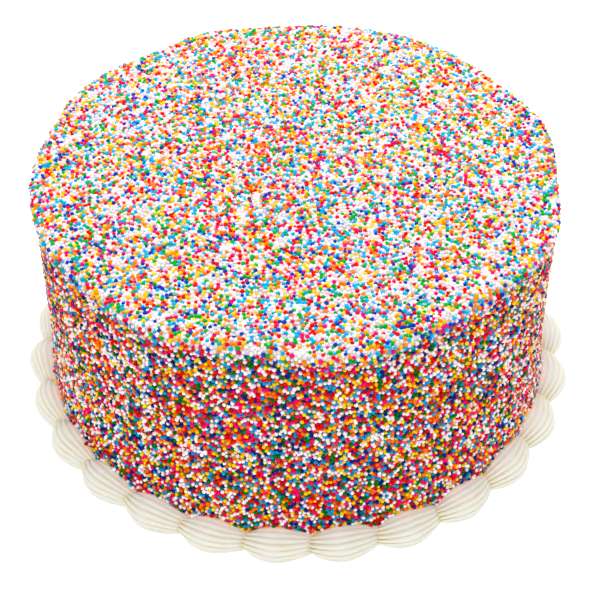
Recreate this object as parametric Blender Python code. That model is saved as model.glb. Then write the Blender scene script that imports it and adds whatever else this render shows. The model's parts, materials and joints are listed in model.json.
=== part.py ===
"""A round cake in a coat of tiny ball sprinkles, with a border of piped buttercream shells round its foot.

The cake stands on Z = 0 with its middle on the Z axis, in metres. The view from the front looks along +Y.
"""

import math
import random

import bmesh
import bpy
from mathutils import Euler, Vector

# Cake: the sizes are over the sprinkles
CAKE_RADIUS = 0.1080
CAKE_HEIGHT = 0.1065
EDGE_RADIUS = 0.0034
FOOT_FLARE = 0.0014
CAKE_SEGMENTS = 72
TOP_RINGS = (0.35, 0.7, 1)
EDGE_RINGS = (1 / 3, 2 / 3, 1)
WALL_RINGS = (0.78, 0.57, 0.36)
COAT_COLOUR = (0.60, 0.36, 0.30)
COAT_ROUGHNESS = 0.35

# Unevenness of the icing: waves round the rim as (size, count, degrees), full at the top and gone at the foot.
# The first one is the cake's slight lean.
RIM_WAVES = ((0.0009, 1, -40), (0.0003, 2, 120), (0.0004, 3, 5), (0.0005, 5, 158), (0.00045, 6, -170),
             (0.0012, 8, -33), (0.0006, 11, -67))
TOP_WAVES = ((0.0004, 2, 40), (0.0003, 3, -70))
CALM_HEIGHT = 0.0150

# Sprinkles: the largest ones, each sunk by half in the icing, above the border
SPRINKLE_DIAMETER = 0.0019
SPRINKLE_COUNT = 180
SPRINKLE_SCATTER = 0.0025
SPRINKLE_FOOT = 0.0170
SPRINKLE_SEED = 7
GOLDEN_ANGLE = math.pi * (3 - math.sqrt(5))

# Border: shells piped one after another, anticlockwise from above, each head laid over the last tail
SHELL_COUNT = 26
SHELL_WIDTH = 0.0123
SHELL_HEIGHT = 0.0110
SHELL_PEAK = 0.38
HEAD_BLUNTNESS = 0.75
TAIL_TAPER = 1.5
NECK_WIDTH = 0.42
NECK_HEIGHT = 0.48
BORDER_GAP = 0.0003
FIRST_NECK = math.radians(-194.6)
HAND_SWAY = math.radians(2.3)
HAND_SWAY_PHASE = math.radians(-22)
HAND_GROWTH = 0.02
HAND_RISE = 0.08
HAND_RISE_PHASE = math.radians(140)
SHELL_VARIATION = 0.03
SHELL_SEED = 4
SHELL_STATIONS = (0, 0.06, 0.16, 0.38, 0.58, 0.75, 0.89)
CREAM_COLOUR = (0.83, 0.80, 0.70)
CREAM_ROUGHNESS = 0.55

# Section of a shell: an oval cut off by the cake's wall and by the ground, with ridges from the star nozzle
OVAL_CENTRE = (0.38, 0.38)
OVAL_OUTWARD = 1 - OVAL_CENTRE[0]
OVAL_UPWARD = 1 - OVAL_CENTRE[1]
WALL_TURN = math.radians(125)
FLOOR_TURN = -math.asin(OVAL_CENTRE[1] / OVAL_UPWARD)
OVAL_INWARD = OVAL_CENTRE[0] / -math.cos(WALL_TURN)
RIDGE_COUNT = 7
RIDGE_DEPTH = 0.0009

COAT_RADIUS = CAKE_RADIUS - SPRINKLE_DIAMETER / 2
COAT_HEIGHT = CAKE_HEIGHT - SPRINKLE_DIAMETER / 2
SHARP_ANGLE = math.radians(40)


def clear_scene():
    for item in list(bpy.data.objects):
        bpy.data.objects.remove(item, do_unlink=True)


def finish(name, colour, roughness):
    """A plain material with the piece's own colour."""
    material = bpy.data.materials.new(name)
    material.use_nodes = True
    shader = material.node_tree.nodes["Principled BSDF"]
    shader.inputs["Base Color"].default_value = (*colour, 1)
    shader.inputs["Roughness"].default_value = roughness
    shader.inputs["Metallic"].default_value = 0
    return material


def closed_object(name, points, faces, material):
    """An object from points and faces, with the faces turned outwards."""
    mesh = bpy.data.meshes.new(name)
    mesh.from_pydata(points, [], faces)
    shell = bmesh.new()
    shell.from_mesh(mesh)
    bmesh.ops.recalc_face_normals(shell, faces=shell.faces)
    shell.to_mesh(mesh)
    shell.free()
    mesh.materials.append(material)
    piece = bpy.data.objects.new(name, mesh)
    bpy.context.scene.collection.objects.link(piece)
    return piece


def smooth(mesh):
    mesh.shade_smooth()
    mesh.set_sharp_from_angle(angle=SHARP_ANGLE)


def ring_faces(rings, count, closed):
    """Quads between neighbouring rings of points; closed joins the last ring to the first."""
    faces = []
    for ring in range(rings if closed else rings - 1):
        following = (ring + 1) % rings
        for index in range(count):
            beside = (index + 1) % count
            faces.append((ring * count + index, ring * count + beside,
                          following * count + beside, following * count + index))
    return faces


def wave_sum(waves, angle):
    total = 0
    for size, count, degrees in waves:
        total += size * math.sin(count * angle + math.radians(degrees))
    return total


def coat_point(angle, way):
    """A point of the icing; way is the distance from the middle of the top, over the edge and down the wall."""
    flat = COAT_RADIUS - EDGE_RADIUS
    bend = EDGE_RADIUS * math.pi / 2
    turn = min(max((way - flat) / EDGE_RADIUS, 0), math.pi / 2)
    radius = min(way, flat) + EDGE_RADIUS * math.sin(turn)
    drop = max(way - flat - bend, 0)
    height = COAT_HEIGHT - EDGE_RADIUS * (1 - math.cos(turn)) - drop

    share = min(max((height - CALM_HEIGHT) / (COAT_HEIGHT - CALM_HEIGHT), 0), 1)
    outward = min(radius / COAT_RADIUS, 1) ** 2
    radius += FOOT_FLARE * (drop / COAT_HEIGHT) ** 2
    radius += wave_sum(RIM_WAVES, angle) * share * outward
    height += wave_sum(TOP_WAVES, angle) * share * outward
    return Vector((radius * math.cos(angle), radius * math.sin(angle), height))


def wall_way(height):
    """The way down to a height on the wall."""
    return COAT_RADIUS - EDGE_RADIUS + EDGE_RADIUS * math.pi / 2 + COAT_HEIGHT - EDGE_RADIUS - height


def make_cake(material):
    """The iced cake without its sprinkles: rings of points from the top's middle to the foot."""
    flat = COAT_RADIUS - EDGE_RADIUS
    bend = EDGE_RADIUS * math.pi / 2
    ways = [flat * share for share in TOP_RINGS]
    ways += [flat + bend * share for share in EDGE_RINGS]
    ways += [wall_way(COAT_HEIGHT * share) for share in WALL_RINGS]
    ways += [wall_way(CALM_HEIGHT), wall_way(0)]
    points = []
    for way in ways:
        for index in range(CAKE_SEGMENTS):
            points.append(coat_point(math.tau * index / CAKE_SEGMENTS, way))
    faces = ring_faces(len(ways), CAKE_SEGMENTS, closed=False)

    top = len(points)
    points += [Vector((0, 0, COAT_HEIGHT)), Vector((0, 0, 0))]
    last_ring = (len(ways) - 1) * CAKE_SEGMENTS
    for index in range(CAKE_SEGMENTS):
        beside = (index + 1) % CAKE_SEGMENTS
        faces.append((index, beside, top))
        faces.append((last_ring + index, last_ring + beside, top + 1))
    return closed_object("cake", points, faces, material)


def sprinkle_way(share):
    """The way at which a share of the sprinkled surface lies above, so that equal steps hold equal areas."""
    flat = COAT_RADIUS - EDGE_RADIUS
    top_area = flat ** 2 / 2
    wall_area = COAT_RADIUS * (wall_way(SPRINKLE_FOOT) - flat)
    area = share * (top_area + wall_area)
    if area < top_area:
        return math.sqrt(2 * area)
    return flat + (area - top_area) / COAT_RADIUS


def add_sprinkles(cake):
    """Joins the largest sprinkles to the icing, spread evenly by the golden angle with a little scatter."""
    draw = random.Random(SPRINKLE_SEED)
    sprinkles = bpy.data.collections.new("sprinkles")
    bpy.context.scene.collection.children.link(sprinkles)
    ball = bpy.data.meshes.new("sprinkle")
    form = bmesh.new()
    bmesh.ops.create_icosphere(form, subdivisions=1, radius=SPRINKLE_DIAMETER / 2)
    form.to_mesh(ball)
    form.free()
    lowest_way = wall_way(SPRINKLE_FOOT)
    for index in range(SPRINKLE_COUNT):
        way = sprinkle_way((index + 0.5) / SPRINKLE_COUNT) + draw.uniform(-1, 1) * SPRINKLE_SCATTER
        way = min(abs(way), lowest_way)
        angle = index * GOLDEN_ANGLE + draw.uniform(-1, 1) * SPRINKLE_SCATTER / CAKE_RADIUS
        sprinkle = bpy.data.objects.new("sprinkle", ball)
        sprinkle.location = coat_point(angle, way)
        sprinkle.rotation_euler = Euler([draw.uniform(0, math.tau) for _ in range(3)])
        sprinkles.objects.link(sprinkle)

    union = cake.modifiers.new("sprinkles", "BOOLEAN")
    union.operation = "UNION"
    union.operand_type = "COLLECTION"
    union.collection = sprinkles
    evaluated = cake.evaluated_get(bpy.context.evaluated_depsgraph_get())
    joined = bpy.data.meshes.new_from_object(evaluated)
    cake.modifiers.clear()
    cake.data = joined
    for sprinkle in list(sprinkles.objects):
        bpy.data.objects.remove(sprinkle, do_unlink=True)
    bpy.data.collections.remove(sprinkles)


def neck_angle(index):
    """Where a shell starts: even steps, with the slow sway of the hand that pipes them."""
    even = FIRST_NECK + math.tau * index / SHELL_COUNT
    return even + HAND_SWAY * math.sin(even + HAND_SWAY_PHASE)


def fullness(share, neck):
    """Size along a shell, from its neck over the round head to the tail: 1 at the peak, neck at both ends."""
    if share < SHELL_PEAK:
        rise = math.sin(math.pi / 2 * (share / SHELL_PEAK) ** HEAD_BLUNTNESS)
    else:
        rise = 1 - ((share - SHELL_PEAK) / (1 - SHELL_PEAK)) ** TAIL_TAPER
    return neck + (1 - neck) * rise


def shell_section(width, height, depth):
    """Points (outward, up) of a shell's section: from the wall over the ridges to the ground, then its corner."""
    steps = 2 * RIDGE_COUNT
    section = []
    for index in range(steps + 1):
        turn = WALL_TURN + (FLOOR_TURN - WALL_TURN) * index / steps
        groove = depth if index % 2 == 0 and 0 < index < steps else 0
        across = OVAL_OUTWARD if math.cos(turn) > 0 else OVAL_INWARD
        outward = (OVAL_CENTRE[0] + across * math.cos(turn)) * width - groove * math.cos(turn)
        up = (OVAL_CENTRE[1] + OVAL_UPWARD * math.sin(turn)) * height - groove * math.sin(turn)
        section.append((max(outward, 0), max(up, 0)))
    section.append((0, 0))
    return section


def make_border(material):
    """The ring of shells: one section after another, growing at each head and shrinking at each tail."""
    draw = random.Random(SHELL_SEED)
    inner_radius = COAT_RADIUS + FOOT_FLARE + BORDER_GAP
    points = []
    for index in range(SHELL_COUNT):
        start = neck_angle(index)
        length = neck_angle(index + 1) - start
        growth = 1 + HAND_GROWTH * math.cos(start + HAND_SWAY_PHASE)
        rise = 1 + HAND_RISE * math.cos(start + HAND_RISE_PHASE)
        width = SHELL_WIDTH * growth * (1 + draw.uniform(-1, 1) * SHELL_VARIATION)
        height = SHELL_HEIGHT * rise * (1 + draw.uniform(-1, 1) * SHELL_VARIATION)
        for share in SHELL_STATIONS:
            angle = start + length * share
            across = width * fullness(share, NECK_WIDTH)
            upward = height * fullness(share, NECK_HEIGHT)
            depth = RIDGE_DEPTH * fullness(share, NECK_WIDTH)
            for outward, up in shell_section(across, upward, depth):
                radius = inner_radius + outward
                points.append((radius * math.cos(angle), radius * math.sin(angle), up))
    stations = SHELL_COUNT * len(SHELL_STATIONS)
    faces = ring_faces(stations, len(points) // stations, closed=True)
    return closed_object("shell_border", points, faces, material)


def main():
    clear_scene()
    cake = make_cake(finish("sprinkle coat", COAT_COLOUR, COAT_ROUGHNESS))
    add_sprinkles(cake)
    border = make_border(finish("buttercream", CREAM_COLOUR, CREAM_ROUGHNESS))
    for piece in (cake, border):
        smooth(piece.data)


main()
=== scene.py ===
# %% [markdown]
# # A cake in a coat of ball sprinkles
# The real cake is a tall round one, iced smooth, rolled in tiny sugar balls while the icing is soft, and
# finished with a row of piped buttercream shells round its foot. The solids of the frame give its size and
# place. This file gives it its skin: the icing, some thirty-nine thousand sprinkles, and the ridged shells.

# %% Load the frame
import json
import math
import random

import bmesh
import bpy
import numpy as np
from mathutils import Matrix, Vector, noise

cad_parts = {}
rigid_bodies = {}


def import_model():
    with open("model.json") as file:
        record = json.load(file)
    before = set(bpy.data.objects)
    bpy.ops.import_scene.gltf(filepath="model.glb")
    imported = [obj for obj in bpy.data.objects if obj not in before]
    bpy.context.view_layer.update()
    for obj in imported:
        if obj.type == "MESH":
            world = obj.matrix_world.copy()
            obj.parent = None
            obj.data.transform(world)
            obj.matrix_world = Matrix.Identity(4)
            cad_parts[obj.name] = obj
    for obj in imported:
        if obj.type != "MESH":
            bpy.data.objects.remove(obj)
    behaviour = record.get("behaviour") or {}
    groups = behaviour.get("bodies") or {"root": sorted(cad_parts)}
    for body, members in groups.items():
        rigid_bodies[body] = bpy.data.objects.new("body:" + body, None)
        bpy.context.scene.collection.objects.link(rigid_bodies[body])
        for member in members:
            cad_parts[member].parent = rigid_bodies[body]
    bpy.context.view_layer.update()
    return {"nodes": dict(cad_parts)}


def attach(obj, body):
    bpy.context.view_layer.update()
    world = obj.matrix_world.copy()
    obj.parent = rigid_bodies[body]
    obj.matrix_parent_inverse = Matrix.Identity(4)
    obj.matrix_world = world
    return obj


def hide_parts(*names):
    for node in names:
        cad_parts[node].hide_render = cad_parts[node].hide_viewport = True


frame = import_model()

MM = 0.001
print("nodes of the frame:", sorted(frame["nodes"]))

# %% [markdown]
# ## Camera
# The photo looks down on the cake from in front. Its place was worked out from the outlines of the top rim
# and of the wall: a lens of 89 mm on a 36 mm sensor, 63 cm from the cake, 44 degrees above the horizon. The
# camera is turned with `to_track_quat`, which points its own -Z axis at the target.

# %% Camera
CAMERA_PLACE = Vector((1.1, -474.5, 484.9)) * MM
CAMERA_TARGET = Vector((1.1, -22.3, 53.1)) * MM
LENS_MM = 89.2
SENSOR_MM = 36
NEAREST_SEEN = 10 * MM


def add_camera():
    data = bpy.data.cameras.new("camera")
    data.sensor_width = SENSOR_MM
    data.lens = LENS_MM
    data.clip_start = NEAREST_SEEN
    camera = bpy.data.objects.new("camera", data)
    camera.location = CAMERA_PLACE
    camera.rotation_euler = (CAMERA_TARGET - CAMERA_PLACE).to_track_quat("-Z", "Y").to_euler()
    bpy.context.scene.collection.objects.link(camera)
    bpy.context.scene.camera = camera


add_camera()
print("camera distance in mm:", round((CAMERA_TARGET - CAMERA_PLACE).length / MM))

# %% [markdown]
# ## Adding nodes
# Colours are written as sRGB hex values, as a colour picker gives them, but shaders count in linear light, so
# one function converts them. Another adds a node, makes its choices, and fills each input with a value or
# with a link from an earlier node. Every material and every Geometry Nodes tree below is built with it.


# %% Colours and nodes
def linear(hex_colour):
    channels = [int(hex_colour[start:start + 2], 16) / 255 for start in (1, 3, 5)]
    return [c / 12.92 if c <= 0.04045 else ((c + 0.055) / 1.055) ** 2.4 for c in channels] + [1]


def add(tree, kind, inputs=None, **choices):
    node = tree.nodes.new(kind)
    for name, value in choices.items():
        setattr(node, name, value)
    for name, value in (inputs or {}).items():
        if isinstance(value, bpy.types.NodeSocket):
            tree.links.new(value, node.inputs[name])
        else:
            node.inputs[name].default_value = value
    return node


print("a mid grey in linear light:", [round(c, 3) for c in linear("#808080")[:3]])

# %% [markdown]
# ## Floor and light
# The cake stands on a white light table, as in a product studio, so that nearly no shadow shows round it. The
# table's own glow throws light up onto the wall and the shells. The sky is brightest overhead. A small lamp
# close behind the cake lifts the top, most at its far side. A wide one, higher up and in front, keeps the
# wall and the front shells as bright as the photo shows. The colours are judged through the Standard view,
# because a film-like view would dull the bright sugar colours.

# %% Floor and light
FLOOR_WIDTH = 12.0
FLOOR_DROP = 0.1 * MM
TABLE_GLOW = 0.5
SKY_AT_HORIZON = 0.4
SKY_OVERHEAD = 1.0
LAMP_AIM = Vector((0, 0, 0.1))
# Each lamp has its place, its width and its watts.
LAMPS = {
    "soft lamp behind": (Vector((0.05, 0.3, 0.6)), 0.5, 2.8),
    "soft lamp in front": (Vector((-0.1, -0.75, 1.5)), 1.0, 11.8),
}


def add_floor():
    bpy.ops.mesh.primitive_plane_add(size=FLOOR_WIDTH, location=(0, 0, -FLOOR_DROP))
    floor = bpy.context.object
    floor.name = "floor"
    # Opal glass scatters light all through, so it is an even white that mirrors nothing.
    material = bpy.data.materials.new("opal glass of a light table")
    material.use_nodes = True
    shader = material.node_tree.nodes["Principled BSDF"]
    shader.inputs["Base Color"].default_value = linear("#E8E8E8")
    shader.inputs["Roughness"].default_value = 0.9
    shader.inputs["Emission Color"].default_value = linear("#FFFFFF")
    shader.inputs["Emission Strength"].default_value = TABLE_GLOW
    floor.data.materials.append(material)


def add_light():
    world = bpy.data.worlds.new("studio")
    bpy.context.scene.world = world
    world.use_nodes = True
    tree = world.node_tree
    sight = add(tree, "ShaderNodeTexCoord").outputs["Generated"]
    way = add(tree, "ShaderNodeSeparateXYZ", {0: sight})
    glow = add(tree, "ShaderNodeMapRange", {
        "Value": way.outputs["Z"], "To Min": SKY_AT_HORIZON, "To Max": SKY_OVERHEAD})
    sky = tree.nodes["Background"]
    sky.inputs["Color"].default_value = linear("#FFFFFF")
    tree.links.new(glow.outputs[0], sky.inputs["Strength"])
    for name, (place, width, watts) in LAMPS.items():
        data = bpy.data.lights.new(name, "AREA")
        data.size = width
        data.energy = watts
        lamp = bpy.data.objects.new(name, data)
        lamp.location = place
        lamp.rotation_euler = (LAMP_AIM - place).to_track_quat("-Z", "Y").to_euler()
        bpy.context.scene.collection.objects.link(lamp)
    bpy.context.scene.view_settings.view_transform = "Standard"


add_floor()
add_light()
print("lamps:", len(LAMPS))

# %% [markdown]
# ## The iced body
# Icing is spread with a palette knife against a turntable, so the body is a lathe shape that isn't quite
# true. Waves run round the rim and die out towards the foot, and the slowest of them is a slight lean. The
# rim is crisp in some places and rounder in others. The knife has pulled icing up the wall, so the rim stands
# out as a lip, most in front, and the foot spreads until it meets the shells. The knife also leaves low
# dents. A Screw modifier would turn one perfect profile. Here each point is worked out instead, from the way
# along the outline: 0 to 1 over the top, 1 to 2 round the edge and 2 to 3 down the wall.

# %% Shape of the icing
CAKE_RADIUS = 108 * MM
CAKE_HEIGHT = 106.5 * MM
FOOT_FLARE = 1.4 * MM
# The balls stand out this far from the icing. On the top they are pressed deeper.
COAT_ON_WALL = 1.3 * MM
COAT_ON_TOP = 0.8 * MM
ICING_RADIUS = CAKE_RADIUS - COAT_ON_WALL
ICING_HEIGHT = CAKE_HEIGHT - COAT_ON_TOP
EDGE_RADIUS = 2.8 * MM
EDGE_SWING = 1.3 * MM
EDGE_SWINGS = 7
EDGE_TURN = math.radians(102)
RIM_LIP = 1.25 * MM
LIP_FROM = ICING_HEIGHT - 8 * MM
LIP_TO = 45 * MM
LIP_SWING = 0.5
# Each wave has its height, its count round the cake and its phase in degrees.
RIM_WAVES = (
    (0.9 * MM, 1, -40),
    (0.3 * MM, 2, 120),
    (0.4 * MM, 3, 5),
    (0.5 * MM, 5, 158),
    (0.45 * MM, 6, -170),
    (1.2 * MM, 8, -33),
    (0.6 * MM, 11, -67),
)
TOP_WAVES = ((0.4 * MM, 2, 40), (0.3 * MM, 3, -70))
CALM_HEIGHT = 15 * MM
# Each size of dent has its depth and its length.
KNIFE_DENTS = ((0.4 * MM, 24 * MM), (0.3 * MM, 9 * MM))
DENTS_FULL = 0.25


def wave_sum(waves, angle):
    return sum(size * math.sin(count * angle + math.radians(degrees)) for size, count, degrees in waves)


def smooth_step(low, high, value):
    share = min(max((value - low) / (high - low), 0), 1)
    return share * share * (3 - 2 * share)


def icing_point(angle, way):
    edge = EDGE_RADIUS + EDGE_SWING * math.cos(EDGE_SWINGS * (angle + EDGE_TURN))
    turn = min(max(way - 1, 0), 1) * math.pi / 2
    radius = (ICING_RADIUS - edge) * min(way, 1) + edge * math.sin(turn)
    height = (ICING_HEIGHT - edge * (1 - math.cos(turn))) * (1 - max(way - 2, 0))
    share = min(max((height - CALM_HEIGHT) / (ICING_HEIGHT - CALM_HEIGHT), 0), 1)
    outward = (radius / ICING_RADIUS) ** 2
    lip = RIM_LIP * (1 - LIP_SWING * math.sin(angle)) * smooth_step(0, LIP_TO, height)
    radius += FOOT_FLARE * max(way - 2, 0) ** 2 - lip * (1 - smooth_step(LIP_FROM, ICING_HEIGHT, height))
    radius += wave_sum(RIM_WAVES, angle) * share * outward
    height += wave_sum(TOP_WAVES, angle) * share * outward
    place = Vector((radius * math.cos(angle), radius * math.sin(angle), height))
    dent = sum(depth * noise.noise(place / length) for depth, length in KNIFE_DENTS)
    away = Vector((math.cos(angle) * math.sin(turn), math.sin(angle) * math.sin(turn), math.cos(turn)))
    return place + away * dent * min(share / DENTS_FULL, 1)


print("icing radius in mm:", round(ICING_RADIUS / MM, 2))

# %% Build the icing
ICING_SEGMENTS = 288
TOP_RINGS = 40
EDGE_RINGS = 8
WALL_RINGS = 40


def rings_to_faces(rings, count):
    faces = []
    for ring in range(rings - 1):
        for index in range(count):
            beside = (index + 1) % count
            faces.append((ring * count + index, (ring + 1) * count + index,
                          (ring + 1) * count + beside, ring * count + beside))
    return faces


def make_piece(name, points, faces):
    mesh = bpy.data.meshes.new(name)
    mesh.from_pydata(points, [], faces)
    form = bmesh.new()
    form.from_mesh(mesh)
    bmesh.ops.recalc_face_normals(form, faces=form.faces)
    form.to_mesh(mesh)
    form.free()
    mesh.shade_smooth()
    piece = bpy.data.objects.new(name, mesh)
    bpy.context.scene.collection.objects.link(piece)
    return piece


def build_icing():
    ways = [ring / TOP_RINGS for ring in range(1, TOP_RINGS)]
    ways += [1 + ring / EDGE_RINGS for ring in range(EDGE_RINGS)]
    ways += [2 + ring / WALL_RINGS for ring in range(WALL_RINGS + 1)]
    points = []
    for way in ways:
        points += [icing_point(math.tau * index / ICING_SEGMENTS, way) for index in range(ICING_SEGMENTS)]
    faces = rings_to_faces(len(ways), ICING_SEGMENTS)
    points += [icing_point(0, 0), Vector((0, 0, 0))]
    last = (len(ways) - 1) * ICING_SEGMENTS
    for index in range(ICING_SEGMENTS):
        beside = (index + 1) % ICING_SEGMENTS
        faces.append((index, beside, len(points) - 2))
        faces.append((last + index, last + beside, len(points) - 1))
    return make_piece("icing", points, faces)


icing = build_icing()
print("icing faces:", len(icing.data.polygons))

# %% [markdown]
# ## Buttercream
# Buttercream is butter whipped with sugar: dense, ivory white and faintly glossy from its fat. Light goes up
# to 2.5 mm into it and comes out warm, so the shader has subsurface scattering with a short reach, longest
# for red. Fine pores and the drag of the knife show as a shallow bump. The piped shells are the same cream:
# their grooves look darker and yellower, because light bounces there more often, so a vertex attribute
# `hollow` says how deep each point sits between its neighbours, and the shader paints that shade there in a
# darker, yellower colour: painted shade.

# %% Buttercream material
# Real pores are finer still. These are as coarse as they need to be to show.
PORE_SIZE_MM = 0.5
PORE_DEPTH = 0.06 * MM
PORE_STRENGTH = 0.6
DRAG_SIZE_MM = 2.5
CLOUD_SPREAD = 0.35
CLOUD_SHIFT = -0.17
CREAM_REACH = 2.5 * MM
CREAM_WARMTH = (1.0, 0.75, 0.45)


def buttercream(name, ridge_hex, groove_shade_and_cloud_hex):
    # Whipped fat is satin and milky: it has a faint gloss, and light comes out of it softer and warmer.
    material = bpy.data.materials.new(name)
    material.use_nodes = True
    tree = material.node_tree
    shader = tree.nodes["Principled BSDF"]
    place = add(tree, "ShaderNodeTexCoord").outputs["Object"]
    pores = add(tree, "ShaderNodeTexNoise", {"Vector": place, "Scale": 1 / (PORE_SIZE_MM * MM), "Detail": 3})
    drag = add(tree, "ShaderNodeTexNoise", {"Vector": place, "Scale": 1 / (DRAG_SIZE_MM * MM), "Detail": 2})
    hollow = add(tree, "ShaderNodeAttribute", attribute_name="hollow")
    cloud = add(tree, "ShaderNodeMath", {
        0: drag.outputs["Fac"], 1: CLOUD_SPREAD, 2: CLOUD_SHIFT}, operation="MULTIPLY_ADD")
    # Painted shade in the grooves, added to the knife's slow cloud of tone.
    groove_shade_and_cloud = add(tree, "ShaderNodeMath", {
        0: hollow.outputs["Fac"], 1: cloud.outputs[0]}, operation="ADD", use_clamp=True)
    colour = add(tree, "ShaderNodeMix", {"Factor": groove_shade_and_cloud.outputs[0]}, data_type="RGBA")
    colour.inputs[6].default_value = linear(ridge_hex)
    colour.inputs[7].default_value = linear(groove_shade_and_cloud_hex)
    relief = add(tree, "ShaderNodeMath", {0: pores.outputs["Fac"], 1: drag.outputs["Fac"]}, operation="ADD")
    bump = add(tree, "ShaderNodeBump", {
        "Height": relief.outputs[0], "Distance": PORE_DEPTH, "Strength": PORE_STRENGTH})
    tree.links.new(colour.outputs[2], shader.inputs["Base Color"])
    tree.links.new(bump.outputs["Normal"], shader.inputs["Normal"])
    shader.inputs["Roughness"].default_value = 0.5
    shader.inputs["IOR"].default_value = 1.46
    shader.inputs["Specular IOR Level"].default_value = 0.35
    shader.inputs["Subsurface Weight"].default_value = 0.6
    shader.inputs["Subsurface Radius"].default_value = CREAM_WARMTH
    shader.inputs["Subsurface Scale"].default_value = CREAM_REACH
    return material


print("pores across a millimetre:", 1 / PORE_SIZE_MM)

# %% [markdown]
# ## One piped shell
# A star nozzle squeezes out a fat head and is pulled away to a thin tail, and its teeth leave ridges that fan
# over the head and close up at the tail. The shell is lofted: one section after another, each an oval that is
# cut off by the wall and by the ground, grows steeply at the head and shrinks slowly to the tail. It is made
# straight, with its length from 0 to 1 in X, outward in Y and up in Z, and is bent round the cake afterwards.

# %% Swell of a shell from head to tail
SHELL_PEAK = 0.38
HEAD_BLUNTNESS = 0.75
HEAD_OVERLAP = 0.10
BLUNT_END = 0.04
TAIL_TAPER = 1.5
TAIL_OVERLAP = 0.10
TAIL_THINNING = 0.5
NECK_WIDTH = 0.42
NECK_HEIGHT = 0.48


def fullness(share, neck):
    """The size of the section at a share of the length, from the neck's size up to one at the peak."""
    if share < 0:
        return neck * math.sqrt(max(1 - (share / HEAD_OVERLAP) ** 2, BLUNT_END))
    if share > 1:
        return neck * (1 - TAIL_THINNING * (share - 1) / TAIL_OVERLAP)
    if share < SHELL_PEAK:
        rise = math.sin(math.pi / 2 * (share / SHELL_PEAK) ** HEAD_BLUNTNESS)
    else:
        rise = 1 - ((share - SHELL_PEAK) / (1 - SHELL_PEAK)) ** TAIL_TAPER
    return neck + (1 - neck) * rise


print("width at each tenth of a shell:", [round(fullness(tenth / 10, NECK_WIDTH), 2) for tenth in range(11)])

# %% Section of a shell
SHELL_WIDTH = 12.3 * MM
SHELL_HEIGHT = 11.0 * MM
# The oval's middle is a share of the width away from the wall and a share of the height off the ground.
OVAL_CENTRE = (0.38, 0.38)
OVAL_OUTWARD = 1 - OVAL_CENTRE[0]
OVAL_UPWARD = 1 - OVAL_CENTRE[1]
WALL_TURN = math.radians(125)
FLOOR_TURN = -math.asin(OVAL_CENTRE[1] / OVAL_UPWARD)
OVAL_INWARD = OVAL_CENTRE[0] / -math.cos(WALL_TURN)
RIDGES = 7
RIDGE_DEPTH = 0.9 * MM
RIDGE_SHARPNESS = 0.85
FAINT_SHARE = 0.4
FAINT_POWER = 1.3
FAINTEST = 0.15
GROUND_FADE = 0.06
WALL_EDGE = 0.04
GROUND_EDGE = 0.03
RIDGE_SWAY = 0.012
SWAY_TURNS = 1.2
LUMP_HEIGHT = 0.18 * MM
LUMPS_ALONG = 5
LUMPS_ACROSS = 4
LUMP_DRAWS = 50
HEAD_BULGE = 0.12
HEAD_SCALLOP = 0.08


def shell_point(share, across, draw):
    """A point at a share of the shell's length and a share of the way from the wall over to the ground."""
    sway = RIDGE_SWAY * math.sin(math.tau * (SWAY_TURNS * share + draw[0])) * math.sin(math.pi * across)
    groove = (1 - abs(math.sin(math.pi * RIDGES * (across + sway)))) ** RIDGE_SHARPNESS
    fade = min(across / FAINT_SHARE, 1) ** FAINT_POWER * min((1 - across) / GROUND_FADE, 1)
    wide = fullness(share, NECK_WIDTH)
    dip = RIDGE_DEPTH * wide * groove * (FAINTEST + (1 - FAINTEST) * fade)
    dip *= min(across / WALL_EDGE, 1)
    dip *= min((1 - across) / GROUND_EDGE, 1)
    spot = Vector((LUMPS_ALONG * share, LUMPS_ACROSS * across, LUMP_DRAWS * draw[1]))
    lump = LUMP_HEIGHT * noise.noise(spot)
    lift = lump * math.sin(math.pi * across) - dip
    turn = WALL_TURN + (FLOOR_TURN - WALL_TURN) * across
    reach = OVAL_OUTWARD if math.cos(turn) > 0 else OVAL_INWARD
    outward = (OVAL_CENTRE[0] + reach * math.cos(turn)) * SHELL_WIDTH * wide + lift * math.cos(turn)
    up = (OVAL_CENTRE[1] + OVAL_UPWARD * math.sin(turn)) * SHELL_HEIGHT * fullness(share, NECK_HEIGHT)
    up += lift * math.sin(turn)
    bulge = HEAD_BULGE * math.sin(math.pi * across) + HEAD_SCALLOP * (1 - groove) * fade
    bulge *= max(1 - max(share, 0) / SHELL_PEAK, 0) ** 2
    return Vector((share - bulge, max(outward, 0), max(up, 0)))


highest = max(shell_point(SHELL_PEAK, step / 50, (0, 0)).z for step in range(51))
print("top of a shell in mm:", round(highest / MM, 1))

# %% Loft the shells
SHELL_KINDS = 4
ALONG_STEPS = 40
ACROSS_STEPS = 63
HEAD_END = 0.16
SHELL_DRAWS = random.Random(12)


def build_shell(number):
    draw = (SHELL_DRAWS.random(), SHELL_DRAWS.random())
    head = np.linspace(-HEAD_OVERLAP, HEAD_END, ALONG_STEPS // 3)
    tail = np.linspace(HEAD_END, 1 + TAIL_OVERLAP, ALONG_STEPS - ALONG_STEPS // 3 + 1)[1:]
    shares = list(head) + list(tail)
    count = ACROSS_STEPS + 2
    points = []
    for share in shares:
        ring = [shell_point(share, index / ACROSS_STEPS, draw) for index in range(ACROSS_STEPS + 1)]
        points += ring + [Vector((share, 0, 0))]
    faces = rings_to_faces(len(shares), count)
    faces.append(tuple(range(count)))
    faces.append(tuple(range(len(points) - count, len(points))))
    return make_piece(f"shell_{number}", points, faces)


shell_kinds = bpy.data.collections.new("shell kinds")
bpy.context.scene.collection.children.link(shell_kinds)
for number in range(SHELL_KINDS):
    shell = build_shell(number)
    bpy.context.scene.collection.objects.unlink(shell)
    shell_kinds.objects.link(shell)
print("faces of a shell:", len(shell.data.polygons))

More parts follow.
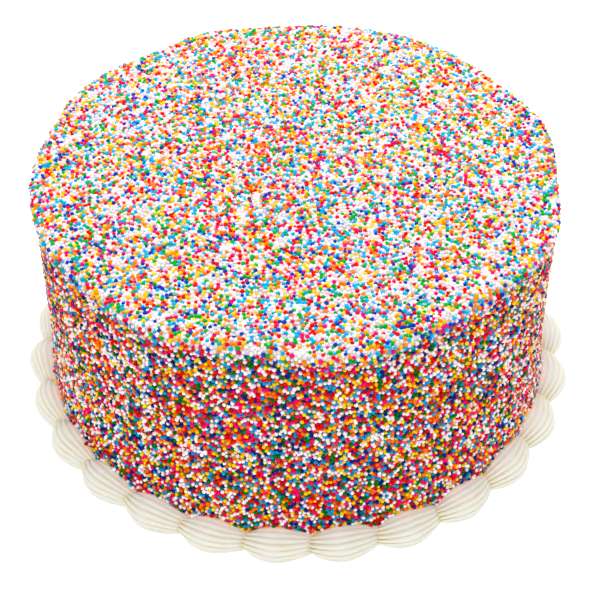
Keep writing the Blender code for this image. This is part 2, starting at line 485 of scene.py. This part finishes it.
# %% [markdown]
# ## Bending the row round the cake
# The shells stand in a row, one for each neck. An Array modifier with a Curve modifier could bend them, but
# all would be alike. Here a mesh of bare points holds the necks: its X is an angle round the cake, and
# attributes give each shell its span, girth and rise. Geometry Nodes put a shell on each point, stretch it,
# and roll the row up: the angle and the outward distance become X and Y. The shells are then split and joined
# by a Boolean union, so that the border is one closed body, with a crease where each head laps over the last
# tail.

# %% Trees and their results
def new_tree(name, sizes):
    """A Geometry Nodes tree with a geometry input, named inputs and a geometry output."""
    tree = bpy.data.node_groups.new(name, "GeometryNodeTree")
    tree.interface.new_socket("Geometry", in_out="INPUT", socket_type="NodeSocketGeometry")
    for label, kind in sizes.items():
        tree.interface.new_socket(label, in_out="INPUT", socket_type="NodeSocket" + kind)
    tree.interface.new_socket("Geometry", in_out="OUTPUT", socket_type="NodeSocketGeometry")
    return tree, tree.nodes.new("NodeGroupInput").outputs


def run_tree(name, source, tree, values):
    """Runs the tree on the source object and returns what it makes as a plain mesh object."""
    modifier = source.modifiers.new(name, "NODES")
    modifier.node_group = tree
    for item in tree.interface.items_tree:
        if item.in_out == "INPUT" and item.name in values:
            modifier[item.identifier] = values[item.name]
    graph = bpy.context.evaluated_depsgraph_get()
    source_shape = source.evaluated_get(graph)
    mesh = bpy.data.meshes.new_from_object(source_shape, preserve_all_data_layers=True, depsgraph=graph)
    source.modifiers.remove(modifier)
    piece = bpy.data.objects.new(name, mesh)
    bpy.context.scene.collection.objects.link(piece)
    return piece


print("node trees so far:", len(bpy.data.node_groups))

# %% The necks of the shells
SHELL_COUNT = 26
FIRST_NECK = math.radians(-194.6)
HAND_SWAY = math.radians(2.3)
HAND_SWAY_PHASE = math.radians(-22)
HAND_GROWTH = 0.02
HAND_RISE = 0.08
HAND_RISE_PHASE = math.radians(140)
SHELL_VARIATION = 0.03
SHELL_SEED = 4


def neck_angle(index):
    even = FIRST_NECK + math.tau * index / SHELL_COUNT
    return even + HAND_SWAY * math.sin(even + HAND_SWAY_PHASE)


def build_necks():
    draw = random.Random(SHELL_SEED)
    starts = [neck_angle(index) for index in range(SHELL_COUNT + 1)]
    necks = make_piece("necks", [(start, 0, 0) for start in starts[:-1]], [])
    sizes = {"span": [], "girth": [], "rise": []}
    for start, end in zip(starts, starts[1:]):
        growth = 1 + HAND_GROWTH * math.cos(start + HAND_SWAY_PHASE)
        rise = 1 + HAND_RISE * math.cos(start + HAND_RISE_PHASE)
        sizes["span"].append(end - start)
        sizes["girth"].append(growth * (1 + draw.uniform(-1, 1) * SHELL_VARIATION))
        sizes["rise"].append(rise * (1 + draw.uniform(-1, 1) * SHELL_VARIATION))
    for label, values in sizes.items():
        necks.data.attributes.new(label, "FLOAT", "POINT").data.foreach_set("value", values)
    return necks


necks = build_necks()
print("shells in the row:", len(necks.data.vertices))

# %% Tree that rolls up the row
# In the solids the icing lies half a large sprinkle inside the cake's radius.
HALF_SPRINKLE = 0.95 * MM
BORDER_GAP = 0.3 * MM
WALL_RADIUS = CAKE_RADIUS - HALF_SPRINKLE + FOOT_FLARE + BORDER_GAP


def border_tree():
    tree, given = new_tree("row of shells", {
        "Shells": "Collection", "Wall radius": "Float", "Cream": "Material"})
    points = add(tree, "GeometryNodeMeshToPoints", {"Mesh": given["Geometry"]})
    kinds = add(tree, "GeometryNodeCollectionInfo", {
        "Collection": given["Shells"], "Separate Children": True})
    size = {}
    for label in ("span", "girth", "rise"):
        stored = add(tree, "GeometryNodeInputNamedAttribute", {"Name": label}, data_type="FLOAT")
        size[label] = stored.outputs[0]
    stretch = add(tree, "ShaderNodeCombineXYZ", {0: size["span"], 1: size["girth"], 2: size["rise"]})
    index = add(tree, "GeometryNodeInputIndex").outputs[0]
    turn = add(tree, "ShaderNodeMath", {0: index, 1: SHELL_KINDS}, operation="MODULO")
    row = add(tree, "GeometryNodeInstanceOnPoints", {
        "Points": points.outputs["Points"], "Instance": kinds.outputs[0], "Pick Instance": True,
        "Instance Index": turn.outputs[0], "Scale": stretch.outputs[0]})
    real = add(tree, "GeometryNodeRealizeInstances", {"Geometry": row.outputs[0]})
    place = add(tree, "ShaderNodeSeparateXYZ", {0: add(tree, "GeometryNodeInputPosition").outputs[0]})
    radius = add(tree, "ShaderNodeMath", {
        0: place.outputs["Y"], 1: given["Wall radius"]}, operation="ADD").outputs[0]
    sides = []
    for side in ("COSINE", "SINE"):
        share = add(tree, "ShaderNodeMath", {0: place.outputs["X"]}, operation=side).outputs[0]
        sides.append(add(tree, "ShaderNodeMath", {0: radius, 1: share}, operation="MULTIPLY").outputs[0])
    rolled = add(tree, "ShaderNodeCombineXYZ", {0: sides[0], 1: sides[1], 2: place.outputs["Z"]})
    ring = add(tree, "GeometryNodeSetPosition", {"Geometry": real.outputs[0], "Position": rolled.outputs[0]})
    ring = add(tree, "GeometryNodeFlipFaces", {"Mesh": ring.outputs[0]})
    island = add(tree, "GeometryNodeInputMeshIsland").outputs["Island Index"]
    apart = add(tree, "GeometryNodeSplitToInstances", {"Geometry": ring.outputs[0], "Group ID": island})
    joined = add(tree, "GeometryNodeMeshBoolean", {
        "Mesh 2": apart.outputs[0]}, operation="UNION", solver="MANIFOLD")
    dressed = add(tree, "GeometryNodeSetMaterial", {
        "Geometry": joined.outputs[0], "Material": given["Cream"]})
    add(tree, "NodeGroupOutput", {"Geometry": dressed.outputs[0]})
    return tree


row_tree = border_tree()
print("nodes in the row's tree:", len(row_tree.nodes))

# %% [markdown]
# ## Dye and painted light in the cream
# The sprinkles' dye bleeds into the moist cream beside them, so the shells are faintly apricot where they
# touch the wall. That colour is also lighter than the cream: painted light, which lifts the shade that falls
# on the shells next to the wall. The plain buttercream gets that colour on top, mixed in by the distance from
# the wall: most at the wall, none 4.5 mm further out, and broken up by a slow noise.

# %% Pipe the border
DYE_AND_PAINTED_LIGHT_REACH = 4.5 * MM
DYE_SPOTS_MM = 9


def dye_and_painted_light_cream():
    """Piped cream that has taken up some dye from the sprinkles beside it, and is painted lighter next to the
    wall, where shade falls.
    """
    material = buttercream("buttercream, piped through a star nozzle", "#DBDBD3", "#D6CEAC")
    tree = material.node_tree
    colour = tree.nodes["Principled BSDF"].inputs["Base Color"]
    plain = colour.links[0].from_socket
    place = add(tree, "ShaderNodeTexCoord").outputs["Object"]
    flat = add(tree, "ShaderNodeVectorMath", {0: place, 1: (1, 1, 0)}, operation="MULTIPLY")
    radius = add(tree, "ShaderNodeVectorMath", {0: flat.outputs[0]}, operation="LENGTH")
    near = add(tree, "ShaderNodeMapRange", {
        "Value": radius.outputs["Value"], "From Min": WALL_RADIUS, "From Max": WALL_RADIUS + DYE_AND_PAINTED_LIGHT_REACH,
        "To Min": 1.0, "To Max": 0.0})
    spots = add(tree, "ShaderNodeTexNoise", {"Vector": place, "Scale": 1 / (DYE_SPOTS_MM * MM), "Detail": 2})
    much = add(tree, "ShaderNodeMath", {0: near.outputs[0], 1: spots.outputs["Fac"]}, operation="MULTIPLY")
    # Dye tint and painted light, lifting the shade next to the wall.
    both = add(tree, "ShaderNodeMix", {"Factor": much.outputs[0]}, data_type="RGBA")
    tree.links.new(plain, both.inputs[6])
    both.inputs[7].default_value = linear("#FFDDC4")
    tree.links.new(both.outputs[2], colour)
    return material


cream = dye_and_painted_light_cream()
sizes = {"Shells": shell_kinds, "Wall radius": WALL_RADIUS, "Cream": cream}
border = run_tree("shells", necks, row_tree, sizes)
print("border faces:", len(border.data.polygons), "box", [round(v / MM, 1) for v in border.dimensions])

# %% [markdown]
# ## Hollows
# Grooves and creases are found from the mesh itself: a point that lies below the middle of its neighbours, as
# its normal sees it, is in a hollow. The measure is spread to the neighbours a few times, so that the painted
# shade in the grooves has soft borders, and is kept as an attribute for the shader.

# %% Mark the hollows
HOLLOW_SPREAD = 6
HOLLOW_FULL = 0.016 * MM
CREASE_ANGLE = math.radians(50)


def mark_hollows(piece):
    mesh = piece.data
    count = len(mesh.vertices)
    places = np.empty(count * 3, np.float32)
    mesh.vertices.foreach_get("co", places)
    places = places.reshape(-1, 3)
    normals = np.empty(count * 3, np.float32)
    mesh.vertices.foreach_get("normal", normals)
    normals = normals.reshape(-1, 3)
    ends = np.empty(len(mesh.edges) * 2, np.int32)
    mesh.edges.foreach_get("vertices", ends)
    left, right = ends.reshape(-1, 2).T
    degree = np.bincount(ends, minlength=count).clip(1)

    def spread(values):
        total = np.bincount(left, values[right], count) + np.bincount(right, values[left], count)
        return total / degree

    middle = np.stack([spread(places[:, axis]) for axis in range(3)], axis=1)
    depth = ((middle - places) * normals).sum(axis=1)
    for _ in range(HOLLOW_SPREAD):
        depth = (depth + spread(depth)) / 2
    hollow = np.clip(depth / HOLLOW_FULL, 0, 1).astype(np.float32)
    mesh.attributes.new("hollow", "FLOAT", "POINT").data.foreach_set("value", hollow)
    return hollow


hollows = mark_hollows(border)
border.data.shade_smooth()
border.data.set_sharp_from_angle(angle=CREASE_ANGLE)
print("share of the border in hollows:", round(float(hollows.mean()), 3))

# %% [markdown]
# ## Places for the sprinkles
# A hand presses the balls on until hardly any icing shows, so they lie about as close as loose balls can, in
# no order. Poisson disk points on the icing keep a least distance but leave gaps. So a repeat zone then lets
# each point step away from its nearest neighbour and back onto the icing, which is how the balls settle when
# they are pressed. Points inside the piped border are dropped: from there, a ray outwards meets the border's
# skin from its inner side. A few balls stick to the shells near the wall, fewer the further out.

# %% Let the places settle
SETTLED_SPACING = 1.55 * MM
SETTLE_STEPS = 24
SETTLE_SHARE = 0.5


def settle(tree, points, skin):
    """Pushes each point away from its nearest neighbour and back onto the skin, many times."""
    start = add(tree, "GeometryNodeRepeatInput")
    end = tree.nodes.new("GeometryNodeRepeatOutput")
    start.pair_with_output(end)
    start.inputs["Iterations"].default_value = SETTLE_STEPS
    tree.links.new(points, start.inputs["Geometry"])
    place = add(tree, "GeometryNodeInputPosition").outputs[0]
    nearest = add(tree, "GeometryNodeIndexOfNearest").outputs["Index"]
    other = add(tree, "GeometryNodeFieldAtIndex", {
        "Value": place, "Index": nearest}, data_type="FLOAT_VECTOR")
    away = add(tree, "ShaderNodeVectorMath", {0: place, 1: other.outputs[0]}, operation="SUBTRACT").outputs[0]
    length = add(tree, "ShaderNodeVectorMath", {0: away}, operation="LENGTH").outputs["Value"]
    lack = add(tree, "ShaderNodeMath", {0: SETTLED_SPACING, 1: length}, operation="SUBTRACT").outputs[0]
    step = add(tree, "ShaderNodeMath", {0: lack, 1: 0.0}, operation="MAXIMUM").outputs[0]
    step = add(tree, "ShaderNodeMath", {0: step, 1: SETTLE_SHARE}, operation="MULTIPLY").outputs[0]
    line = add(tree, "ShaderNodeVectorMath", {0: away}, operation="NORMALIZE").outputs[0]
    push = add(tree, "ShaderNodeVectorMath", {0: line, "Scale": step}, operation="SCALE").outputs[0]
    pushed = add(tree, "ShaderNodeVectorMath", {0: place, 1: push}, operation="ADD").outputs[0]
    back = add(tree, "GeometryNodeProximity", {
        "Geometry": skin, "Sample Position": pushed}, target_element="FACES")
    moved = add(tree, "GeometryNodeSetPosition", {
        "Geometry": start.outputs["Geometry"], "Position": back.outputs[0]})
    tree.links.new(moved.outputs[0], end.inputs["Geometry"])
    return end.outputs["Geometry"]


print("places settle to mm apart:", round(SETTLED_SPACING / MM, 2))

# %% Find the places inside the border
BALL_LIFT = 0.5 * MM
RAY_LENGTH = 30 * MM


def inside_border(tree, border, place, up):
    """True where a ray from just above the place meets the border's skin from its inner side."""
    middle = add(tree, "ShaderNodeVectorMath", {
        0: up, 1: (BALL_LIFT,) * 3, 2: place}, operation="MULTIPLY_ADD")
    solid = add(tree, "GeometryNodeObjectInfo", {"Object": border}).outputs["Geometry"]
    ray = add(tree, "GeometryNodeRaycast", {
        "Target Geometry": solid, "Source Position": middle.outputs[0],
        "Ray Direction": up, "Ray Length": RAY_LENGTH})
    facing = add(tree, "ShaderNodeVectorMath", {
        0: ray.outputs["Hit Normal"], 1: up}, operation="DOT_PRODUCT")
    behind = add(tree, "FunctionNodeCompare", {
        "A": facing.outputs["Value"], "B": 0.0}, operation="GREATER_THAN")
    both = add(tree, "FunctionNodeBooleanMath", {
        0: ray.outputs["Is Hit"], 1: behind.outputs[0]}, operation="AND")
    return both.outputs[0]


print("each ray reaches mm:", round(RAY_LENGTH / MM))

# %% Strays on the shells
SPACING = 1.28 * MM
# Enough candidates in each square of the spacing that only the least distance limits them.
CROWDING = 6
STRAY_FROM = 0.95 * MM
STRAY_REACH = 2.6 * MM
STRAY_POWER = 1.5
STRAY_HEIGHT = 5 * MM


def strays(tree, border, skin):
    """Places on the border near the wall, fewer the further they are from it."""
    solid = add(tree, "GeometryNodeObjectInfo", {"Object": border}).outputs["Geometry"]
    spread = add(tree, "GeometryNodeDistributePointsOnFaces", {
        "Mesh": solid, "Distance Min": SPACING, "Density Max": CROWDING / SPACING ** 2, "Seed": 4},
        distribute_method="POISSON")
    near = add(tree, "GeometryNodeProximity", {"Geometry": skin}, target_element="FACES").outputs["Distance"]
    draw = add(tree, "FunctionNodeRandomValue", {2: 0.0, 3: 1.0, "Seed": 8}).outputs[1]
    draw = add(tree, "ShaderNodeMath", {0: draw, 1: STRAY_POWER}, operation="POWER").outputs[0]
    reach = add(tree, "ShaderNodeMapRange", {
        "Value": draw, "To Min": STRAY_FROM, "To Max": STRAY_REACH}).outputs[0]
    far = add(tree, "FunctionNodeCompare", {"A": near, "B": reach}, operation="GREATER_THAN").outputs[0]
    close = add(tree, "FunctionNodeCompare", {"A": near, "B": STRAY_FROM}, operation="LESS_THAN").outputs[0]
    place = add(tree, "GeometryNodeInputPosition").outputs[0]
    height = add(tree, "ShaderNodeSeparateXYZ", {0: place}).outputs["Z"]
    low = add(tree, "FunctionNodeCompare", {"A": height, "B": STRAY_HEIGHT}, operation="LESS_THAN").outputs[0]
    apart = add(tree, "FunctionNodeBooleanMath", {0: far, 1: close}, operation="OR").outputs[0]
    apart = add(tree, "FunctionNodeBooleanMath", {0: apart, 1: low}, operation="OR").outputs[0]
    stored = add(tree, "GeometryNodeStoreNamedAttribute", {
        "Geometry": spread.outputs["Points"], "Name": "up", "Value": spread.outputs["Normal"]},
        data_type="FLOAT_VECTOR").outputs[0]
    return add(tree, "GeometryNodeDeleteGeometry", {"Geometry": stored, "Selection": apart}).outputs[0]


print("strays lie up to mm from the icing:", round(STRAY_REACH / MM, 1))

# %% Scatter the places
LOWEST_BALL = 1.1 * MM


def places_tree():
    tree, given = new_tree("places on icing", {"Border": "Object", "Spacing": "Float"})
    skin = given["Geometry"]
    crowd = add(tree, "ShaderNodeMath", {0: given["Spacing"], 1: -2}, operation="POWER").outputs[0]
    crowd = add(tree, "ShaderNodeMath", {0: crowd, 1: CROWDING}, operation="MULTIPLY").outputs[0]
    spread = add(tree, "GeometryNodeDistributePointsOnFaces", {
        "Mesh": skin, "Distance Min": given["Spacing"], "Density Max": crowd, "Seed": 1},
        distribute_method="POISSON")
    points = settle(tree, spread.outputs["Points"], skin)
    normal = add(tree, "GeometryNodeInputNormal").outputs[0]
    sample = add(tree, "GeometryNodeSampleNearestSurface", {
        "Mesh": skin, "Value": normal}, data_type="FLOAT_VECTOR")
    stored = add(tree, "GeometryNodeStoreNamedAttribute", {
        "Geometry": points, "Name": "up", "Value": sample.outputs[0]}, data_type="FLOAT_VECTOR").outputs[0]
    up = add(tree, "GeometryNodeInputNamedAttribute", {"Name": "up"}, data_type="FLOAT_VECTOR").outputs[0]
    place = add(tree, "GeometryNodeInputPosition").outputs[0]
    inside = inside_border(tree, given["Border"], place, up)
    height = add(tree, "ShaderNodeSeparateXYZ", {0: place}).outputs["Z"]
    low = add(tree, "FunctionNodeCompare", {"A": height, "B": LOWEST_BALL}, operation="LESS_THAN")
    hidden = add(tree, "FunctionNodeBooleanMath", {0: inside, 1: low.outputs[0]}, operation="OR")
    free = add(tree, "GeometryNodeDeleteGeometry", {"Geometry": stored, "Selection": hidden.outputs[0]})
    both = add(tree, "GeometryNodeJoinGeometry", {0: free.outputs[0]})
    tree.links.new(strays(tree, given["Border"], skin), both.inputs[0])
    dots = add(tree, "GeometryNodePointsToVertices", {"Points": both.outputs[0]})
    add(tree, "NodeGroupOutput", {"Geometry": dots.outputs[0]})
    return tree


places = run_tree("places", icing, places_tree(), {"Border": border, "Spacing": SPACING})
print("places for sprinkles:", len(places.data.vertices))

# %% [markdown]
# ## Colours of the sprinkles
# The mix is about a third white, with seven colours in like amounts. The shares differ a little between the
# near and the far side of the top and the wall, and the white ones thicken and thin out over some 7 mm, as
# balls do that are pressed on by the handful. Each place draws its kind by those shares. The white ones are
# parted into a top and a wall piece, to keep each mesh small. A kind has one colour for the top, where light
# falls on it from all over, and a mostly deeper one for the wall, where its neighbours tint it. The two are
# painted light and shade, set by how light falls there, not by the sugar's own colour.

# %% Draw a kind for each place
# Each kind has its painted-light colours on the top and on the wall, and its shares on the near top, far top
# and wall.
SPRINKLE_KINDS = (
    ("white", "#E8DFE3", "#F9EEEF", 0.36, 0.39, 0.275),
    ("red", "#EC0A0D", "#DC0508", 0.09, 0.075, 0.115),
    ("orange", "#FB8400", "#FF7200", 0.082, 0.118, 0.108),
    ("yellow", "#F7C800", "#FBD000", 0.093, 0.12, 0.118),
    ("green", "#00AE34", "#027216", 0.088, 0.05, 0.082),
    ("light_blue", "#00B2E4", "#009CD4", 0.14, 0.115, 0.112),
    ("dark_blue", "#0840BA", "#04287E", 0.082, 0.02, 0.09),
    ("pink", "#EA1274", "#F80668", 0.075, 0.085, 0.10),
)
TOP_FROM = 98 * MM
CLUMP_SIZE = 7 * MM
CLUMPING = 0.9
KIND_SEED = 5


def draw_kinds():
    spots = [vertex.co.copy() for vertex in places.data.vertices]
    near, far, wall = np.array([kind[3:] for kind in SPRINKLE_KINDS]).T
    depth = np.array([0.5 + 0.5 * spot.y / CAKE_RADIUS for spot in spots])[:, None]
    on_top = np.array([spot.z > TOP_FROM for spot in spots])
    shares = np.where(on_top[:, None], near + (far - near) * depth, wall)
    shares[:, 0] *= [1 + CLUMPING * noise.noise(spot / CLUMP_SIZE) for spot in spots]
    steps = shares.cumsum(axis=1)
    draws = np.random.default_rng(KIND_SEED).random((len(spots), 1)) * steps[:, -1:]
    drawn = (draws > steps).sum(axis=1).astype(np.int32)
    drawn[(drawn == 0) & ~on_top] = len(SPRINKLE_KINDS)
    places.data.attributes.new("kind", "INT", "POINT").data.foreach_set("value", drawn)
    return np.bincount(drawn)


print("sprinkles of each kind:", draw_kinds())

# %% [markdown]
# ## The icing between them
# On the wall no icing shows: between the balls lie deeper ones, in shadow, and their dye has run into the
# cream. A Voronoi texture gives cells as wide as the balls, each with its own random number, and a ramp with
# the shares of the mix and the wall's painted-light colours turns that number into a colour. Each cell
# darkens
# towards its border: painted shade between the balls. The top, where the light is strong, keeps its plain
# cream. The change lies just under the rim, for the balls as well.

# %% Material of the icing
CELL_SIZE_MM = 1.5
CELL_EDGE = 0.7
# Painted shade between the balls: the brightness of a cell in its middle and at its border.
DEEP_SHADE = 1.0
BORDER_PAINTED_SHADE = 0.5
WALL_COLOURS_FROM = 98 * MM
TOP_COLOURS_FROM = 102 * MM


def wall_painted_light_share(tree, place):
    """One on the wall and nothing on the top, with a soft change between the two heights, where the wall's
    painted light and shade takes over.
    """
    height = add(tree, "ShaderNodeSeparateXYZ", {0: place}).outputs["Z"]
    return add(tree, "ShaderNodeMapRange", {
        "Value": height, "From Min": WALL_COLOURS_FROM, "From Max": TOP_COLOURS_FROM,
        "To Min": 1.0, "To Max": 0.0}).outputs[0]


def studded_icing():
    # Cream full of balls: plain where light is strong, and a dim mosaic of their colours on the wall, with
    # painted shade between them.
    material = buttercream("buttercream, studded with sprinkles", "#F7F1E8", "#EFE2CE")
    tree = material.node_tree
    colour = tree.nodes["Principled BSDF"].inputs["Base Color"]
    cream = colour.links[0].from_socket
    place = add(tree, "ShaderNodeTexCoord").outputs["Object"]
    cells = add(tree, "ShaderNodeTexVoronoi", {"Vector": place, "Scale": 1 / (CELL_SIZE_MM * MM)})
    draw = add(tree, "ShaderNodeSeparateColor", {0: cells.outputs["Color"]}).outputs[0]
    mix = add(tree, "ShaderNodeValToRGB", {0: draw})
    mix.color_ramp.interpolation = "CONSTANT"
    start = 0
    total = sum(kind[5] for kind in SPRINKLE_KINDS)
    for number, (_, _, hex_colour, _, _, share) in enumerate(SPRINKLE_KINDS):
        stop = mix.color_ramp.elements[0] if number == 0 else mix.color_ramp.elements.new(start)
        stop.color = linear(hex_colour)
        start += share / total
    mix.color_ramp.elements.remove(mix.color_ramp.elements[-1])
    # Painted shade: each cell darkens towards its border.
    shade = add(tree, "ShaderNodeMapRange", {
        "Value": cells.outputs["Distance"], "From Max": CELL_EDGE,
        "To Min": DEEP_SHADE, "To Max": BORDER_PAINTED_SHADE})
    deep = add(tree, "ShaderNodeHueSaturation", {"Value": shade.outputs[0], "Color": mix.outputs[0]})
    both = add(tree, "ShaderNodeMix", {"Factor": wall_painted_light_share(tree, place)}, data_type="RGBA")
    tree.links.new(cream, both.inputs[6])
    tree.links.new(deep.outputs[0], both.inputs[7])
    tree.links.new(both.outputs[2], colour)
    return material


icing.data.materials.append(studded_icing())
print("materials of the icing:", [material.name for material in icing.data.materials])

# %% [markdown]
# ## Sugar balls
# A ball sprinkle is a sugar crystal rolled in syrup in a turning pan until it is round, then coloured and
# polished with confectioner's glaze. It is satin rather than glossy. At this size twenty faces with smooth
# shading look round. Sizes, lifts and turns are drawn for each ball, and those on the top are pressed deeper.

# %% Material of a sprinkle
TONE_SPREAD = 0.24
BRIGHTEST_TONE = 1.06


def sugar_ball(name, top_painted_light_hex, wall_painted_light_hex):
    # A thin glaze over rough crystals is satin: its shine is weak and spread out.
    material = bpy.data.materials.new(f"sugar ball, glazed, {name.replace('_', ' ')}")
    material.use_nodes = True
    tree = material.node_tree
    shader = tree.nodes["Principled BSDF"]
    tone = add(tree, "ShaderNodeAttribute", attribute_name="tone").outputs["Fac"]
    value = add(tree, "ShaderNodeMapRange", {
        "Value": tone, "To Min": 1 - TONE_SPREAD, "To Max": BRIGHTEST_TONE})
    place = add(tree, "ShaderNodeTexCoord").outputs["Object"]
    # Painted light and shade: the ball's top colour changes to its wall colour by height.
    colour = add(tree, "ShaderNodeMix", {"Factor": wall_painted_light_share(tree, place)}, data_type="RGBA")
    colour.inputs[6].default_value = linear(top_painted_light_hex)
    colour.inputs[7].default_value = linear(wall_painted_light_hex)
    shade = add(tree, "ShaderNodeHueSaturation", {"Value": value.outputs[0], "Color": colour.outputs[2]})
    tree.links.new(shade.outputs[0], shader.inputs["Base Color"])
    shader.inputs["Roughness"].default_value = 0.4
    shader.inputs["IOR"].default_value = 1.5
    shader.inputs["Specular IOR Level"].default_value = 0.04
    return material


print("tones of a ball:", 1 - TONE_SPREAD, "to", BRIGHTEST_TONE)

# %% Tree that sets the balls
SMALLEST = 1.3 * MM
LARGEST = 1.85 * MM
# Flat faces cut inside the ball that they stand for, so its corners reach a little further out.
ROUNDING = 1.14
LIFT_RANGE = (0.2 * MM, 0.8 * MM)
TOP_SINK = 0.35 * MM


def balls_tree():
    tree, given = new_tree("balls on places", {
        "Kind": "Int", "Smallest": "Float", "Largest": "Float", "Sugar": "Material"})
    kind = add(tree, "GeometryNodeInputNamedAttribute", {"Name": "kind"}, data_type="INT").outputs[0]
    mine = add(tree, "FunctionNodeCompare", {2: kind, 3: given["Kind"]}, data_type="INT", operation="EQUAL")
    up = add(tree, "GeometryNodeInputNamedAttribute", {"Name": "up"}, data_type="FLOAT_VECTOR").outputs[0]
    lift = add(tree, "FunctionNodeRandomValue", {2: LIFT_RANGE[0], 3: LIFT_RANGE[1], "Seed": 1})
    level = add(tree, "ShaderNodeSeparateXYZ", {0: up}).outputs["Z"]
    lift = add(tree, "ShaderNodeMath", {
        0: level, 1: -TOP_SINK, 2: lift.outputs[1]}, operation="MULTIPLY_ADD")
    offset = add(tree, "ShaderNodeVectorMath", {0: up, "Scale": lift.outputs[0]}, operation="SCALE")
    raised = add(tree, "GeometryNodeSetPosition", {
        "Geometry": given["Geometry"], "Offset": offset.outputs[0]})
    points = add(tree, "GeometryNodeMeshToPoints", {
        "Mesh": raised.outputs[0], "Selection": mine.outputs[0]})
    ball = add(tree, "GeometryNodeMeshIcoSphere", {"Radius": 0.5 * ROUNDING, "Subdivisions": 1})
    turn = add(tree, "FunctionNodeRandomValue", {
        0: (0, 0, 0), 1: (math.tau,) * 3, "Seed": 2}, data_type="FLOAT_VECTOR")
    size = add(tree, "FunctionNodeRandomValue", {2: given["Smallest"], 3: given["Largest"], "Seed": 3})
    balls = add(tree, "GeometryNodeInstanceOnPoints", {
        "Points": points.outputs[0], "Instance": ball.outputs[0],
        "Rotation": turn.outputs[0], "Scale": size.outputs[1]})
    draw = add(tree, "FunctionNodeRandomValue", {2: 0.0, 3: 1.0, "Seed": 4})
    toned = add(tree, "GeometryNodeStoreNamedAttribute", {
        "Geometry": balls.outputs[0], "Name": "tone", "Value": draw.outputs[1]}, domain="INSTANCE")
    real = add(tree, "GeometryNodeRealizeInstances", {"Geometry": toned.outputs[0]})
    smooth = add(tree, "GeometryNodeSetShadeSmooth", {"Geometry": real.outputs[0]})
    dressed = add(tree, "GeometryNodeSetMaterial", {
        "Geometry": smooth.outputs[0], "Material": given["Sugar"]})
    add(tree, "NodeGroupOutput", {"Geometry": dressed.outputs[0]})
    return tree


ball_tree = balls_tree()
print("nodes in the balls' tree:", len(ball_tree.nodes))

# %% Make the sprinkles
def make_sprinkles():
    sugars = [sugar_ball(*kind[:3]) for kind in SPRINKLE_KINDS]
    names = [kind[0] for kind in SPRINKLE_KINDS] + ["white_wall"]
    names[0] = "white_top"
    made = []
    for number, name in enumerate(names):
        sugar = sugars[number % len(sugars)]
        sizes = {"Kind": number, "Smallest": SMALLEST, "Largest": LARGEST, "Sugar": sugar}
        made.append(run_tree(f"sprinkles_{name}", places, ball_tree, sizes))
        print("faces of", made[-1].name, len(made[-1].data.polygons))
    return made


sprinkles = make_sprinkles()

# %% [markdown]
# ## Hand over
# The helpers that only gave shapes are removed. The icing and the sprinkles stand for the cake's solid, and
# the shells for the border's solid. Everything rides on the one body.

# %% Hand over
for helper in [places, necks] + list(shell_kinds.objects):
    bpy.data.objects.remove(helper, do_unlink=True)
bpy.data.collections.remove(shell_kinds)
for piece in [icing, border] + sprinkles:
    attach(piece, "root")
for piece in [icing] + sprinkles:
    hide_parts("cake")
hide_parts("shell_border")
print("pieces:", len(sprinkles) + 2)
